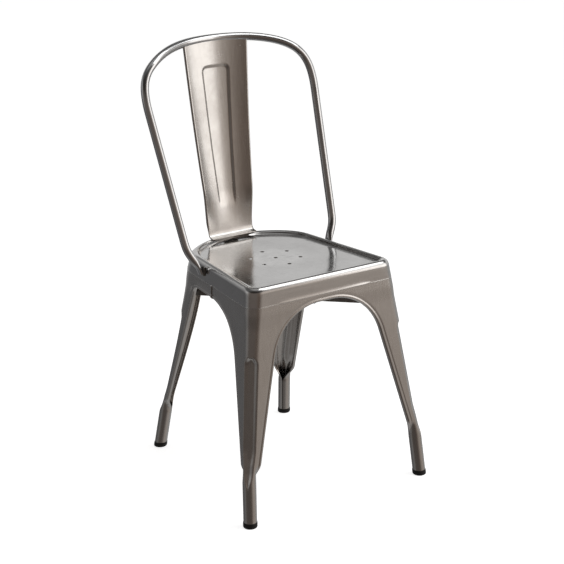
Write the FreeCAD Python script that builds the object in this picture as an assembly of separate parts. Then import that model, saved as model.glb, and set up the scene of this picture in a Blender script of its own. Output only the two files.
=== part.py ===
"""Stacking side chair of pressed sheet steel, with a bent-tube back and a pressed splat.

Frame: +Z up, +X to the right for someone facing the chair, front towards -Y.
Origin: on the floor, in the middle of the rectangle round the four feet.
"""
import FreeCAD, Part
import math
import os

V = FreeCAD.Vector
UP = V(0, 0, 1)

# ---------------------------------------------------------------- driving dimensions, mm
OVERALL_HEIGHT = 850.0      # floor to the top of the back tube
SEAT_HEIGHT = 448.0         # floor to the top of the rolled seat rim
FRONT_FOOT_SPREAD = 401.0   # between the front feet, centre to centre
REAR_FOOT_SPREAD = 312.0    # between the rear feet, centre to centre
FOOT_PITCH = 426.0          # front feet to rear feet, centre to centre
SHEET = 1.5                 # pressed sheet of legs, seat and splat
FIT_GAP = 0.1               # leg apron to seat skirt

# feet: a round tube end closed from the leg sheet, and a rubber cap
FOOT_TUBE_RADIUS = 13.0
CAP_WALL = 0.75
CAP_SOLE = 4.0
CAP_HEIGHT = 11.0
CAP_PLUG_HEIGHT = 16.0
CAP_GAP = 0.1

# legs: the open corner channel runs from the knee, where it closes into the tube, to the seat
KNEE_HEIGHT = 88.0
FRONT_KNEE_INWARD = 6.0     # how far the knee stands inside its foot
FRONT_KNEE_BACKWARD = 9.0
REAR_KNEE_INWARD = 8.5
REAR_KNEE_FORWARD = 17.0
KNEE_REAR_BOW_RADIUS = 600.0
REAR_LEG_TOP_HALF = 112.0   # where the rear legs' corner line meets the seat, half width
REAR_LEG_TOP_FORWARD = 90.0  # and how far in front of the seat's rearmost point
REAR_LEG_TOP_RADIUS = 22.0
REAR_BLEND_POWER = 5        # how late the rear corner opens out to the seat's bow
LEG_STEPS = 12
FLARE_HEIGHT = 35.0         # above the knee, where the channel reaches its own width
END_CROWN_HEIGHT = 398.0    # underside of the front and rear arches
SIDE_CROWN_HEIGHT = 388.0
APRON_TOP_HEIGHT = 436.0

# distance from the corner's centre to the free edge of each channel arm, at the knee and crown
FRONT_ARM_LOW = 15.0
FRONT_ARM_HIGH = 45.0
SIDE_FRONT_ARM_LOW = 9.6
SIDE_FRONT_ARM_HIGH = 60.0
SIDE_REAR_ARM_LOW = 15.0
SIDE_REAR_ARM_HIGH = 27.0
REAR_ARM_LOW = 16.0
REAR_ARM_HIGH = 44.0
FRONT_ARCH_RADIUS = 108.0
SIDE_ARCH_FRONT_RADIUS = 120.0
SIDE_ARCH_REAR_RADIUS = 20.0
REAR_ARCH_RADIUS = 58.0
FLARE_RADIUS = 40.0

# seat: plan outline of the rim, its roll and the pressed pan
SEAT_SETBACK = 36.0         # front feet centres to the front edge of the seat
SEAT_FRONT_HALF = 162.0
SEAT_DEPTH = 344.0          # front edge to the rearmost point of the bowed rear edge
SEAT_FRONT_CORNER_RADIUS = 25.0
SEAT_REAR_CORNER_RADIUS = 88.0
SEAT_REAR_CORNER_HALF = 50.6
SEAT_REAR_BOW_RADIUS = 170.0
RIM_OUTER_RADIUS = 7.0
RIM_INNER_RADIUS = 3.5
RIM_WIDTH = 14.0
PAN_DEPTH = 7.0
PAN_SLOPE_WIDTH = 6.0
SKIRT_HEIGHT = 36.0
HOLE_RADIUS = 4.0
HOLE_PITCH = 48.7
HOLE_CENTRE_BACK = 168.0    # from the front edge of the seat

# back hoop
HOOP_TUBE_RADIUS = 8.0
HOOP_TUBE_WALL = 1.5
HOOP_ROOT_BACK = 203.0      # from the front edge of the seat to where the tube ends
HOOP_ROOT_DROP = 22.0       # tube end below the top of the rim
HOOP_LOW_HALF = 171.8       # half width where the tube is clear of the rim
HOOP_LOW_RISE = 32.0
HOOP_LOW_BACK = 17.0
HOOP_EASE = 2.4             # how far the tube has left the skirt halfway up it
HOOP_STEPS = 3
HOOP_WIDE_HALF = 192.5      # half width where the shoulders start
HOOP_SHOULDER_DROP = 102.0  # from the top centre line down to where the shoulders start
HOOP_SHOULDER_POWER = 3.0
HOOP_LEAN = 0.344           # backward run for each millimetre of rise
HOOP_BOW = 44.0             # how far the top centre stands behind the shoulders
HOOP_BOW_HALF = 165.0

# splat
SPLAT_TOP_HALF = 73.5
SPLAT_FOOT_HALF = 52.0
SPLAT_HOLLOW = 12.0         # how far the middle stands behind the edges
SPLAT_SETBACK = 10.0        # bend of the foot in front of the middle of the rim
SPLAT_LIP = 6.0             # lower lip that lies on the rim
SPLAT_BEND = 8.0
SPLAT_TOP_AHEAD = 6.5       # face of the splat in front of the hoop's centre line
SPLAT_BOW = 5.0

# cross brace under the seat
BRACE_THICKNESS = 3.0
BRACE_DEPTH = 18.0
BRACE_BOTTOM_HEIGHT = 356.0
BRACE_GAP = 0.3             # bar end to the inside of the leg, filled by the weld
LAP_GAP = 0.2
PAD_LENGTH = 24.0
PAD_WIDTH = 10.0
PAD_HEIGHT = 12.0
PAD_GRIP = 7.0
PAD_REACH = 0.30            # along each arm of the cross, from its centre

WELD_RADIUS = 2.0
TACK_LENGTH = 16.0

# ---------------------------------------------------------------- derived places
LEG_INSET = SHEET + FIT_GAP
FRONT_FEET_Y = -FOOT_PITCH / 2
REAR_FEET_Y = FOOT_PITCH / 2
SEAT_FRONT_Y = FRONT_FEET_Y + SEAT_SETBACK
SEAT_REAR_Y = SEAT_FRONT_Y + SEAT_DEPTH
RIM_HEIGHT = SEAT_HEIGHT - RIM_OUTER_RADIUS - SHEET / 2
SKIRT_BOTTOM = SEAT_HEIGHT - SKIRT_HEIGHT
PAN_TOP = SEAT_HEIGHT - PAN_DEPTH

FRONT_KNEE = V(FRONT_FOOT_SPREAD / 2 - FRONT_KNEE_INWARD, FRONT_FEET_Y + FRONT_KNEE_BACKWARD, 0)
REAR_KNEE = V(REAR_FOOT_SPREAD / 2 - REAR_KNEE_INWARD, REAR_FEET_Y - REAR_KNEE_FORWARD, 0)
KNEE_CORNER_RADIUS = FOOT_TUBE_RADIUS + LEG_INSET

REAR_BOW_CENTRE_Y = SEAT_REAR_Y - SEAT_REAR_BOW_RADIUS
REAR_BOW_REACH = SEAT_REAR_BOW_RADIUS - SEAT_REAR_CORNER_RADIUS
FRONT_SEAT_CORNER = V(SEAT_FRONT_HALF - SEAT_FRONT_CORNER_RADIUS,
                      SEAT_FRONT_Y + SEAT_FRONT_CORNER_RADIUS, 0)
REAR_LEG_TOP = V(REAR_LEG_TOP_HALF, SEAT_REAR_Y - REAR_LEG_TOP_FORWARD, 0)
REAR_SEAT_CORNER = V(SEAT_REAR_CORNER_HALF,
                     REAR_BOW_CENTRE_Y + math.sqrt(REAR_BOW_REACH ** 2
                                                   - SEAT_REAR_CORNER_HALF ** 2), 0)

SIDES = {"left": -1, "right": 1}


def between(low, high, z):
    """Value at height z of something that runs straight from the knee to the seat rim."""
    return low + (high - low) * (z - KNEE_HEIGHT) / (RIM_HEIGHT - KNEE_HEIGHT)


def front_corner(z):
    return between(FRONT_KNEE, FRONT_SEAT_CORNER, z)


def rear_line(z):
    """The line that the rear leg's corner follows from the knee to the seat."""
    return between(REAR_KNEE, REAR_LEG_TOP, z)


def rear_blend(z):
    """0 on the leg, rising late to 1 where the corner has opened out under the seat."""
    return min(1.0, (z - KNEE_HEIGHT) / (SKIRT_BOTTOM - KNEE_HEIGHT)) ** REAR_BLEND_POWER


def rear_corner(z):
    return rear_line(z) + (REAR_SEAT_CORNER - REAR_LEG_TOP) * rear_blend(z)


def front_radius(z):
    return between(KNEE_CORNER_RADIUS, SEAT_FRONT_CORNER_RADIUS, z)


def rear_radius(z):
    opening = SEAT_REAR_CORNER_RADIUS - REAR_LEG_TOP_RADIUS
    return between(KNEE_CORNER_RADIUS, REAR_LEG_TOP_RADIUS, z) + opening * rear_blend(z)


def side_normal(z):
    """Outward normal of the right side, tangent to the front and rear corner circles."""
    run = rear_corner(z) - front_corner(z)
    along = (front_radius(z) - rear_radius(z)) / run.Length
    forward = V(run.x, run.y, 0) / run.Length
    outward = V(forward.y, -forward.x, 0)
    return forward * along + outward * math.sqrt(1 - along ** 2)


def side_point(y, z, outside=0.0):
    """Point of the seat's right side surface at depth y, moved outwards."""
    normal = side_normal(z)
    start = front_corner(z) + normal * (front_radius(z) + outside)
    run = V(-normal.y, normal.x, 0)
    return start + run * ((y - start.y) / run.y) + UP * z


def outline(z, inset):
    """Plan outline at height z: straight front and sides, round corners, bowed rear."""
    front = front_corner(z)
    rear = rear_corner(z)
    front_r = front_radius(z) - inset
    rear_r = rear_radius(z) - inset
    bow_r = between(KNEE_REAR_BOW_RADIUS, SEAT_REAR_BOW_RADIUS, z)
    bow_reach = bow_r - rear_radius(z)
    bow_centre = V(0, rear.y - math.sqrt(bow_reach ** 2 - rear.x ** 2), 0)
    bow_r = bow_r - inset
    normal = side_normal(z)
    bow_way = (rear - bow_centre).normalize()
    front_way = V(0, -1, 0)
    right = [front + front_way * front_r,
             front + (front_way + normal).normalize() * front_r,
             front + normal * front_r,
             rear + normal * rear_r,
             rear + (normal + bow_way).normalize() * rear_r,
             rear + bow_way * rear_r]
    lift = V(0, 0, z)
    right = [p + lift for p in right]
    left = [V(-p.x, p.y, p.z) for p in right]
    apex = bow_centre + V(0, bow_r, z)
    return Part.Wire([
        Part.makeLine(left[0], right[0]),
        Part.Arc(right[0], right[1], right[2]).toShape(),
        Part.makeLine(right[2], right[3]),
        Part.Arc(right[3], right[4], right[5]).toShape(),
        Part.Arc(right[5], apex, left[5]).toShape(),
        Part.Arc(left[5], left[4], left[3]).toShape(),
        Part.makeLine(left[3], left[2]),
        Part.Arc(left[2], left[1], left[0]).toShape()])


def block(low, high, inset):
    """Solid filled to the chair's outer surface, less the inset, between two heights."""
    step = (SKIRT_BOTTOM - KNEE_HEIGHT) / LEG_STEPS
    levels = [KNEE_HEIGHT + step * i for i in range(LEG_STEPS + 1)]
    levels += [APRON_TOP_HEIGHT, SEAT_HEIGHT]
    inside = [z for z in levels if low + 0.01 < z < high - 0.01]
    return Part.makeLoft([outline(z, inset) for z in [low] + inside + [high]], True, True)


def level_edges(shape, z):
    return [e for e in shape.Edges
            if abs(e.BoundBox.ZMin - z) < 0.01 and abs(e.BoundBox.ZMax - z) < 0.01]


def rounded_face(corners):
    """Face inside a polygon whose corners are (point, radius); a zero radius stays sharp."""
    edges = []
    ends = []
    count = len(corners)
    for i, (corner, radius) in enumerate(corners):
        back = (corners[i - 1][0] - corner).normalize()
        ahead = (corners[(i + 1) % count][0] - corner).normalize()
        half = back.getAngle(ahead) / 2
        reach = radius / math.tan(half)
        start = corner + back * reach
        stop = corner + ahead * reach
        if radius > 0:
            middle = corner + (back + ahead).normalize() * (radius / math.sin(half) - radius)
            edges.append(Part.Arc(start, middle, stop).toShape())
        ends.append((start, stop))
    for i in range(count):
        edges.append(Part.makeLine(ends[i][1], ends[(i + 1) % count][0]))
    return Part.Face(Part.Wire(Part.__sortEdges__(edges)))


def arch_side(corner_at, across, sign, arm, crown, radius):
    """Three corners of an arch outline on one side: foot, flare and crown."""
    flare = KNEE_HEIGHT + FLARE_HEIGHT
    low_edge = across(corner_at(KNEE_HEIGHT)) + sign * arm[0]
    high_edge = across(corner_at(crown)) + sign * arm[1]
    slope = (high_edge - low_edge) / (crown - KNEE_HEIGHT)
    foot_edge = across(corner_at(KNEE_HEIGHT)) + sign * FOOT_TUBE_RADIUS
    return [(foot_edge, KNEE_HEIGHT - 1, 0),
            (low_edge + slope * FLARE_HEIGHT, flare, FLARE_RADIUS),
            (high_edge, crown, radius)]


def end_arch(corner_at, arm, radius):
    """Face of the front or rear arch, in the plane y = 0, with its two equal sides."""
    right = arch_side(corner_at, lambda p: p.x, -1, arm, END_CROWN_HEIGHT, radius)
    corners = [(V(u, 0, z), r) for u, z, r in right]
    corners += [(V(-u, 0, z), r) for u, z, r in reversed(right)]
    return rounded_face(corners)


def side_arch():
    """Face of the side arch, in the plane x = 0."""
    front = arch_side(front_corner, lambda p: p.y, 1, (SIDE_FRONT_ARM_LOW, SIDE_FRONT_ARM_HIGH),
                      SIDE_CROWN_HEIGHT, SIDE_ARCH_FRONT_RADIUS)
    rear = arch_side(rear_line, lambda p: p.y, -1, (SIDE_REAR_ARM_LOW, SIDE_REAR_ARM_HIGH),
                     SIDE_CROWN_HEIGHT, SIDE_ARCH_REAR_RADIUS)
    corners = [(V(0, u, z), r) for u, z, r in front]
    corners += [(V(0, u, z), r) for u, z, r in reversed(rear)]
    return rounded_face(corners)


def split_y():
    """Depth where a front leg's side apron butts against the rear leg's."""
    front_edge = front_corner(SIDE_CROWN_HEIGHT).y + SIDE_FRONT_ARM_HIGH
    rear_edge = rear_line(SIDE_CROWN_HEIGHT).y - SIDE_REAR_ARM_HIGH
    return (front_edge + rear_edge) / 2


def foot_column(foot, knee, radius, low, high):
    """Round bar along the line from a foot's centre to its knee, cut level at both ends."""
    run = V(knee.x - foot.x, knee.y - foot.y, KNEE_HEIGHT)
    start = foot + run * (low / KNEE_HEIGHT)
    disc = Part.Face(Part.Wire(Part.makeCircle(radius, start, UP)))
    return disc.extrude(run * ((high - low) / KNEE_HEIGHT))


def mirrored(point, side):
    return V(point.x * side, point.y, point.z)


def leg_stations():
    """Name, side sign, foot centre and knee centre of each leg."""
    front_foot = V(FRONT_FOOT_SPREAD / 2, FRONT_FEET_Y, 0)
    rear_foot = V(REAR_FOOT_SPREAD / 2, REAR_FEET_Y, 0)
    stations = []
    for word, sign in SIDES.items():
        stations.append(("front_" + word, mirrored(front_foot, sign), mirrored(FRONT_KNEE, sign)))
        stations.append(("rear_" + word, mirrored(rear_foot, sign), mirrored(REAR_KNEE, sign)))
    return stations


def make_legs():
    skin = block(KNEE_HEIGHT, APRON_TOP_HEIGHT, LEG_INSET)
    skin = skin.cut(block(KNEE_HEIGHT, APRON_TOP_HEIGHT, LEG_INSET + SHEET))
    reach = FRONT_FOOT_SPREAD + FOOT_PITCH
    middle_y = split_y()
    front = end_arch(front_corner, (FRONT_ARM_LOW, FRONT_ARM_HIGH), FRONT_ARCH_RADIUS)
    front.translate(V(0, middle_y, 0))
    rear = end_arch(rear_line, (REAR_ARM_LOW, REAR_ARM_HIGH), REAR_ARCH_RADIUS)
    rear.translate(V(0, middle_y, 0))
    side = side_arch()
    side.translate(V(-reach, 0, 0))
    skin = skin.cut(front.extrude(V(0, -reach, 0)))
    skin = skin.cut(rear.extrude(V(0, reach, 0)))
    skin = skin.cut(side.extrude(V(2 * reach, 0, 0)))
    legs = {}
    for name, foot, knee in leg_stations():
        corner = V(0 if foot.x > 0 else -reach, middle_y if foot.y > 0 else middle_y - reach, 0)
        quarter = skin.common(Part.makeBox(reach, reach, reach, corner))
        tube = foot_column(foot, knee, FOOT_TUBE_RADIUS, CAP_SOLE, KNEE_HEIGHT)
        bore = foot_column(foot, knee, FOOT_TUBE_RADIUS - SHEET, CAP_SOLE, KNEE_HEIGHT)
        legs[name + "_leg"] = quarter.fuse(tube.cut(bore)).removeSplitter()
    return legs


def make_foot_caps():
    caps = {}
    bore = FOOT_TUBE_RADIUS + CAP_GAP
    plug = FOOT_TUBE_RADIUS - SHEET - CAP_GAP
    for name, foot, knee in leg_stations():
        cap = foot_column(foot, knee, FOOT_TUBE_RADIUS + CAP_WALL, 0, CAP_HEIGHT)
        cap = cap.cut(foot_column(foot, knee, bore, CAP_SOLE, CAP_HEIGHT))
        cap = cap.fuse(foot_column(foot, knee, plug, CAP_SOLE, CAP_PLUG_HEIGHT))
        caps[name + "_foot_cap"] = cap.removeSplitter()
    return caps


def make_seat():
    outer = block(SKIRT_BOTTOM, SEAT_HEIGHT, 0)
    outer = outer.makeFillet(RIM_OUTER_RADIUS, level_edges(outer, SEAT_HEIGHT))
    slope = RIM_WIDTH + PAN_SLOPE_WIDTH
    pocket = Part.makeLoft([outline(PAN_TOP, slope), outline(SEAT_HEIGHT, RIM_WIDTH)], True, True)
    pressed = Part.makeLoft([outline(PAN_TOP - SHEET, slope - SHEET / 2),
                             outline(SEAT_HEIGHT, RIM_WIDTH - SHEET)], True, True)
    under = block(SKIRT_BOTTOM, SEAT_HEIGHT - SHEET, SHEET)
    under = under.makeFillet(RIM_OUTER_RADIUS - SHEET, level_edges(under, SEAT_HEIGHT - SHEET))
    under = under.cut(pressed)
    seat = outer.cut(pocket)
    inner_edge = [e for e in level_edges(seat, SEAT_HEIGHT)
                  if e.BoundBox.YMax < SEAT_REAR_Y - RIM_WIDTH + 1
                  and e.BoundBox.YMin > SEAT_FRONT_Y + RIM_WIDTH - 1]
    seat = seat.makeFillet(RIM_INNER_RADIUS, inner_edge)
    seat = seat.cut(under)
    centre = V(0, SEAT_FRONT_Y + HOLE_CENTRE_BACK, SKIRT_BOTTOM)
    holes = [centre]
    for i in range(6):
        turn = math.radians(30 + 60 * i)
        holes.append(centre + V(math.cos(turn), math.sin(turn), 0) * HOLE_PITCH)
    for place in holes:
        seat = seat.cut(Part.makeCylinder(HOLE_RADIUS, SKIRT_HEIGHT, place, UP))
    return seat


def hoop_depth(x, z):
    """Depth of the hoop's centre line: a straight lean, bowed backwards across the top."""
    low = SEAT_HEIGHT + HOOP_LOW_RISE
    start = SEAT_FRONT_Y + HOOP_ROOT_BACK + HOOP_LOW_BACK
    bow = max(0.0, 1 - (x / HOOP_BOW_HALF) ** 2) ** 1.5
    shoulder = OVERALL_HEIGHT - HOOP_TUBE_RADIUS - HOOP_SHOULDER_DROP
    raised = max(0.0, min(1.0, (z - shoulder) / HOOP_SHOULDER_DROP * 2))
    return start + HOOP_LEAN * (z - low) + HOOP_BOW * bow * raised


def hoop_root():
    """Lower end of the right tube, where it lies flat against the seat's skirt."""
    end_y = SEAT_FRONT_Y + HOOP_ROOT_BACK
    end_z = SEAT_HEIGHT - HOOP_ROOT_DROP
    return side_point(end_y, end_z, HOOP_TUBE_RADIUS + FIT_GAP)


def hoop_path():
    """Centre line of the hoop, from its left end over the top to its right end."""
    low = SEAT_HEIGHT + HOOP_LOW_RISE
    top = OVERALL_HEIGHT - HOOP_TUBE_RADIUS
    shoulder = top - HOOP_SHOULDER_DROP
    root = hoop_root()
    middle = side_point(root.y + HOOP_LOW_BACK * 0.3, SEAT_HEIGHT - HOOP_ROOT_DROP / 2,
                        HOOP_TUBE_RADIUS + HOOP_EASE)
    right = [root, middle]
    clear = V(HOOP_LOW_HALF, hoop_depth(HOOP_LOW_HALF, low), low)
    right.append((middle + clear) / 2)
    for step in range(HOOP_STEPS + 1):
        share = step / HOOP_STEPS
        z = low + (shoulder - low) * share
        x = HOOP_LOW_HALF + (HOOP_WIDE_HALF - HOOP_LOW_HALF) * share
        right.append(V(x, hoop_depth(x, z), z))
    for step in range(1, 2 * HOOP_STEPS):
        turn = math.pi / 2 * step / (2 * HOOP_STEPS)
        x = HOOP_WIDE_HALF * math.cos(turn) ** (2 / HOOP_SHOULDER_POWER)
        z = shoulder + HOOP_SHOULDER_DROP * math.sin(turn) ** (2 / HOOP_SHOULDER_POWER)
        right.append(V(x, hoop_depth(x, z), z))
    apex = V(0, hoop_depth(0, top), top)
    left = [V(-p.x, p.y, p.z) for p in right]
    curve = Part.BSplineCurve()
    curve.interpolate(left + [apex] + right[::-1])
    return curve.toShape()


def hoop_bar(radius):
    """Round bar swept along the hoop's centre line."""
    path = hoop_path()
    start = path.valueAt(path.FirstParameter)
    way = path.tangentAt(path.FirstParameter)
    ring = Part.Wire(Part.makeCircle(radius, start, way))
    return Part.Wire([path]).makePipeShell([ring], True, True)


def make_hoop():
    return hoop_bar(HOOP_TUBE_RADIUS).cut(hoop_bar(HOOP_TUBE_RADIUS - HOOP_TUBE_WALL))


def splat_spine():
    """Front-surface points of the splat's middle with their forward normals, foot to top."""
    top_z = OVERALL_HEIGHT - HOOP_TUBE_RADIUS
    top_y = hoop_depth(0, top_z) - SPLAT_TOP_AHEAD
    lip_z = SEAT_HEIGHT + SHEET + FIT_GAP
    bend_y = SEAT_REAR_Y - RIM_WIDTH / 2 - SPLAT_SETBACK
    bend_centre = V(0, bend_y, lip_z + SPLAT_BEND)
    spine = [(V(0, bend_y - SPLAT_LIP, lip_z), UP)]
    for turn in (0, 30, 60, 80):
        a = math.radians(turn)
        normal = V(0, -math.sin(a), math.cos(a))
        spine.append((bend_centre - normal * SPLAT_BEND, normal))
    start = spine[-1][0]
    run = V(0, top_y - start.y, top_z - start.z)
    square = V(0, -run.z, run.y).normalize()
    for share in (0.2, 0.5, 0.8, 1.0):
        bowed = SPLAT_BOW * math.sin(math.pi * share)
        spine.append((start + run * share - square * bowed, square))
    return spine


def make_splat():
    sections = []
    spine = splat_spine()
    low_z = SEAT_HEIGHT
    rise = spine[-1][0].z - low_z
    for point, normal in spine:
        share = max(0.0, (point.z - low_z) / rise)
        half = SPLAT_FOOT_HALF + (SPLAT_TOP_HALF - SPLAT_FOOT_HALF) * share
        hollow = SPLAT_HOLLOW * min(1.0, max(0.0, (share - 0.005) * 8))
        edge = V(half, 0, 0)
        corner = point + normal * hollow
        back = normal * SHEET
        if hollow > 0.1:
            face = Part.Arc(corner - edge, point, corner + edge).toShape()
            rear = Part.Arc(corner + edge - back, point - back, corner - edge - back).toShape()
        else:
            face = Part.makeLine(corner - edge, corner + edge)
            rear = Part.makeLine(corner + edge - back, corner - edge - back)
        sections.append(Part.Wire([face, Part.makeLine(corner + edge, corner + edge - back),
                                   rear, Part.makeLine(corner - edge - back, corner - edge)]))
    splat = Part.makeLoft(sections, True, False)
    return splat.cut(hoop_bar(HOOP_TUBE_RADIUS + FIT_GAP)).Solids[0]


def brace_lines():
    """The two diagonals between opposite legs at the brace, as (centre, direction) pairs."""
    z = BRACE_BOTTOM_HEIGHT
    front = front_corner(z)
    rear = rear_line(z)
    crossing = front + (V(-rear.x, rear.y, 0) - front) * (front.x / (front.x + rear.x))
    way = (V(-rear.x, rear.y, 0) - front).normalize()
    return V(0, crossing.y, z), [way, V(-way.x, way.y, 0)]


def bar_along(centre, way, length, width, low, high):
    """Upright bar centred on a point and running along a level direction."""
    bar = Part.makeBox(length, width, high - low, V(-length / 2, -width / 2, low))
    bar.rotate(V(0, 0, 0), UP, math.degrees(math.atan2(way.y, way.x)))
    bar.translate(V(centre.x, centre.y, 0))
    return bar


def make_brace():
    pieces = {}
    centre, ways = brace_lines()
    top = BRACE_BOTTOM_HEIGHT + BRACE_DEPTH
    middle = BRACE_BOTTOM_HEIGHT + BRACE_DEPTH / 2
    room = block(BRACE_BOTTOM_HEIGHT - PAD_HEIGHT, top + 1, LEG_INSET + SHEET + BRACE_GAP)
    span = FRONT_FOOT_SPREAD + FOOT_PITCH
    lap = BRACE_THICKNESS * 2
    halves = [(middle - LAP_GAP / 2, top + 1), (BRACE_BOTTOM_HEIGHT - 1, middle + LAP_GAP / 2)]
    bars = []
    for way, other, (low, high) in zip(ways, ways[::-1], halves):
        bar = bar_along(centre, way, span, BRACE_THICKNESS, BRACE_BOTTOM_HEIGHT, top)
        notch = bar_along(centre, other, lap * 2, BRACE_THICKNESS + 2 * LAP_GAP, low, high)
        bars.append(bar.common(room).cut(notch))
    pieces["brace_bar_lower"] = bars[0]
    pieces["brace_bar_upper"] = bars[1]
    front = front_corner(BRACE_BOTTOM_HEIGHT) - V(0, centre.y, 0)
    rear = rear_line(BRACE_BOTTOM_HEIGHT) - V(0, centre.y, 0)
    for word, sign in SIDES.items():
        for end, corner in (("front", front), ("rear", rear)):
            place = V(sign * corner.x, corner.y, 0) * PAD_REACH + V(0, centre.y, 0)
            way = ways[0] if (sign > 0) == (end == "front") else ways[1]
            low = BRACE_BOTTOM_HEIGHT - PAD_HEIGHT + PAD_GRIP
            pad = bar_along(place, way, PAD_LENGTH, PAD_WIDTH, low, low + PAD_HEIGHT)
            pad = pad.makeFillet(2.0, level_edges(pad, low))
            slot = bar_along(place, way, PAD_LENGTH * 2, BRACE_THICKNESS + 2 * FIT_GAP,
                             BRACE_BOTTOM_HEIGHT - FIT_GAP, top)
            pieces["stacking_pad_%s_%s" % (end, word)] = pad.cut(slot)
    return pieces


def rod(start, way, length, radius):
    """Weld bead: a short rod centred on a point."""
    return Part.makeCylinder(radius, length, start - way * (length / 2), way)


def trimmed(shape, neighbours):
    """What is left of a weld bead outside its neighbours."""
    for neighbour in neighbours:
        shape = shape.cut(neighbour)
    return max(shape.Solids, key=lambda solid: solid.Volume)


def make_welds(nodes):
    welds = {}
    seat = nodes["seat_pan"]
    splat = nodes["back_splat"]
    hoop = hoop_bar(HOOP_TUBE_RADIUS)
    bars = [nodes["brace_bar_lower"], nodes["brace_bar_upper"]]

    end_y = SEAT_FRONT_Y + HOOP_ROOT_BACK
    bead_z = SEAT_HEIGHT - HOOP_ROOT_DROP * 0.75
    bead_way = (side_point(end_y, bead_z + 10) - side_point(end_y, bead_z)).normalize()
    for word, sign in SIDES.items():
        beads = []
        for way in (-1, 1):
            place = side_point(end_y + way * HOOP_TUBE_RADIUS * 0.6 - 1, bead_z, WELD_RADIUS * 0.6)
            run = mirrored(bead_way, sign)
            bead = rod(mirrored(place, sign), run, TACK_LENGTH, WELD_RADIUS)
            beads.append(trimmed(bead, [seat, hoop]))
        welds["hoop_weld_" + word] = Part.makeCompound(beads)

    top = splat_spine()[-1][0]
    across = V(1, 0, 0)
    bead = rod(V(0, top.y + WELD_RADIUS / 2, top.z - HOOP_TUBE_RADIUS - 1), across, TACK_LENGTH * 3,
               WELD_RADIUS)
    welds["splat_top_weld"] = trimmed(bead, [hoop, splat])
    behind_bend = SEAT_REAR_Y - RIM_WIDTH / 2 - SPLAT_SETBACK + SPLAT_BEND
    bead = rod(V(0, behind_bend - WELD_RADIUS / 4, SEAT_HEIGHT + WELD_RADIUS * 0.75), across,
               TACK_LENGTH * 2, WELD_RADIUS)
    welds["splat_foot_weld"] = trimmed(bead, [seat, splat])

    centre, ways = brace_lines()
    middle = centre + V(0, 0, BRACE_DEPTH)
    bead = Part.makeSphere(WELD_RADIUS * 2, middle)
    welds["brace_centre_weld"] = trimmed(bead, bars)
    ends = []
    for word, sign in SIDES.items():
        for corner, way_index in ((front_corner, 0), (rear_line, 1)):
            z = BRACE_BOTTOM_HEIGHT + BRACE_DEPTH / 2
            way = ways[way_index] if sign > 0 else ways[1 - way_index]
            place = mirrored(corner(z), sign) + UP * z
            bead = bar_along(place, way, 4 * SEAT_REAR_CORNER_RADIUS, 2.5 * BRACE_THICKNESS,
                             z - 5, z + 5)
            shell = block(z - 6, z + 6, LEG_INSET + SHEET + FIT_GAP / 2)
            shell = shell.cut(block(z - 6, z + 6, LEG_INSET + SHEET + WELD_RADIUS))
            bead = bead.common(shell).cut(bars[0]).cut(bars[1])
            toward = place - centre
            ends += [s for s in bead.Solids if (s.CenterOfMass - centre).dot(toward) > 0]
    welds["brace_end_welds"] = Part.makeCompound(ends)
    return welds


def build():
    nodes = {"seat_pan": make_seat(), "back_hoop": make_hoop(), "back_splat": make_splat()}
    nodes.update(make_legs())
    nodes.update(make_foot_caps())
    nodes.update(make_brace())
    nodes.update(make_welds(nodes))
    return nodes


os.makedirs("parts", exist_ok=True)
for node, shape in build().items():
    shape.exportStep("parts/%s.step" % node)
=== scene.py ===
import math

import bmesh
import bpy
from mathutils import Matrix, Vector


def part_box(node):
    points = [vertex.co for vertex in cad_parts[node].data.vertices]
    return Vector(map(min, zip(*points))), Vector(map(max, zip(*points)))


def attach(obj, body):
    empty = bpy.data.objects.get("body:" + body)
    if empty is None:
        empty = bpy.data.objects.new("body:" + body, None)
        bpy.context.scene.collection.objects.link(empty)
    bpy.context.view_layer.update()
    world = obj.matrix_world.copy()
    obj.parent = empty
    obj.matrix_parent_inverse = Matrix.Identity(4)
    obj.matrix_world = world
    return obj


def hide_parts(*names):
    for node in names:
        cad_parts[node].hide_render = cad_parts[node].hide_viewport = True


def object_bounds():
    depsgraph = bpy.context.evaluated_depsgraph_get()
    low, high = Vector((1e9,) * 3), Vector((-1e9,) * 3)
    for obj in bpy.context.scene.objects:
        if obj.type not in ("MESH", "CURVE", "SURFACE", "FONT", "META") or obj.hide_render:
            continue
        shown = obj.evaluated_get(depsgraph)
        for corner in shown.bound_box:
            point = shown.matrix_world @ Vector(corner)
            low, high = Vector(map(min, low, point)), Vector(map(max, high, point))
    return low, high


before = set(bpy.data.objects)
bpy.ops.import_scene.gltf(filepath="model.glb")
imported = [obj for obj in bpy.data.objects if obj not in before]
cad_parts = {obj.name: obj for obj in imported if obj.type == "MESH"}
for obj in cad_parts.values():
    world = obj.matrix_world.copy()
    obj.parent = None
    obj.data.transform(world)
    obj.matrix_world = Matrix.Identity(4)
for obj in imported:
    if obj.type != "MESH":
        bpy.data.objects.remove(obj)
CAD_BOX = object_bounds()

# ---------------------------------------------------------------- sizes, metres
SHEET = 0.0015              # pressed sheet of seat, legs and splat
LEG_INSET = 0.0016          # leg sheet inside the seat's skirt
JOGGLE = 0.0014             # how far the leg sheet comes out to be flush below the skirt
JOGGLE_FROM_Z = 0.370
JOGGLE_RUN = 0.030
TUBE_R = 0.013              # round foot tube that each leg closes into
CAP_R = 0.01375
CAP_HEIGHT = 0.011

OVERALL_Z = CAD_BOX[1].z
SEAT_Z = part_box("seat_pan")[1].z
FRONT_FOOT = Vector((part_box("front_right_foot_cap")[1].x - CAP_R,
                     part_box("front_right_foot_cap")[0].y + CAP_R, 0))
REAR_FOOT = Vector((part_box("rear_right_foot_cap")[1].x - CAP_R,
                    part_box("rear_right_foot_cap")[1].y - CAP_R, 0))

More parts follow.
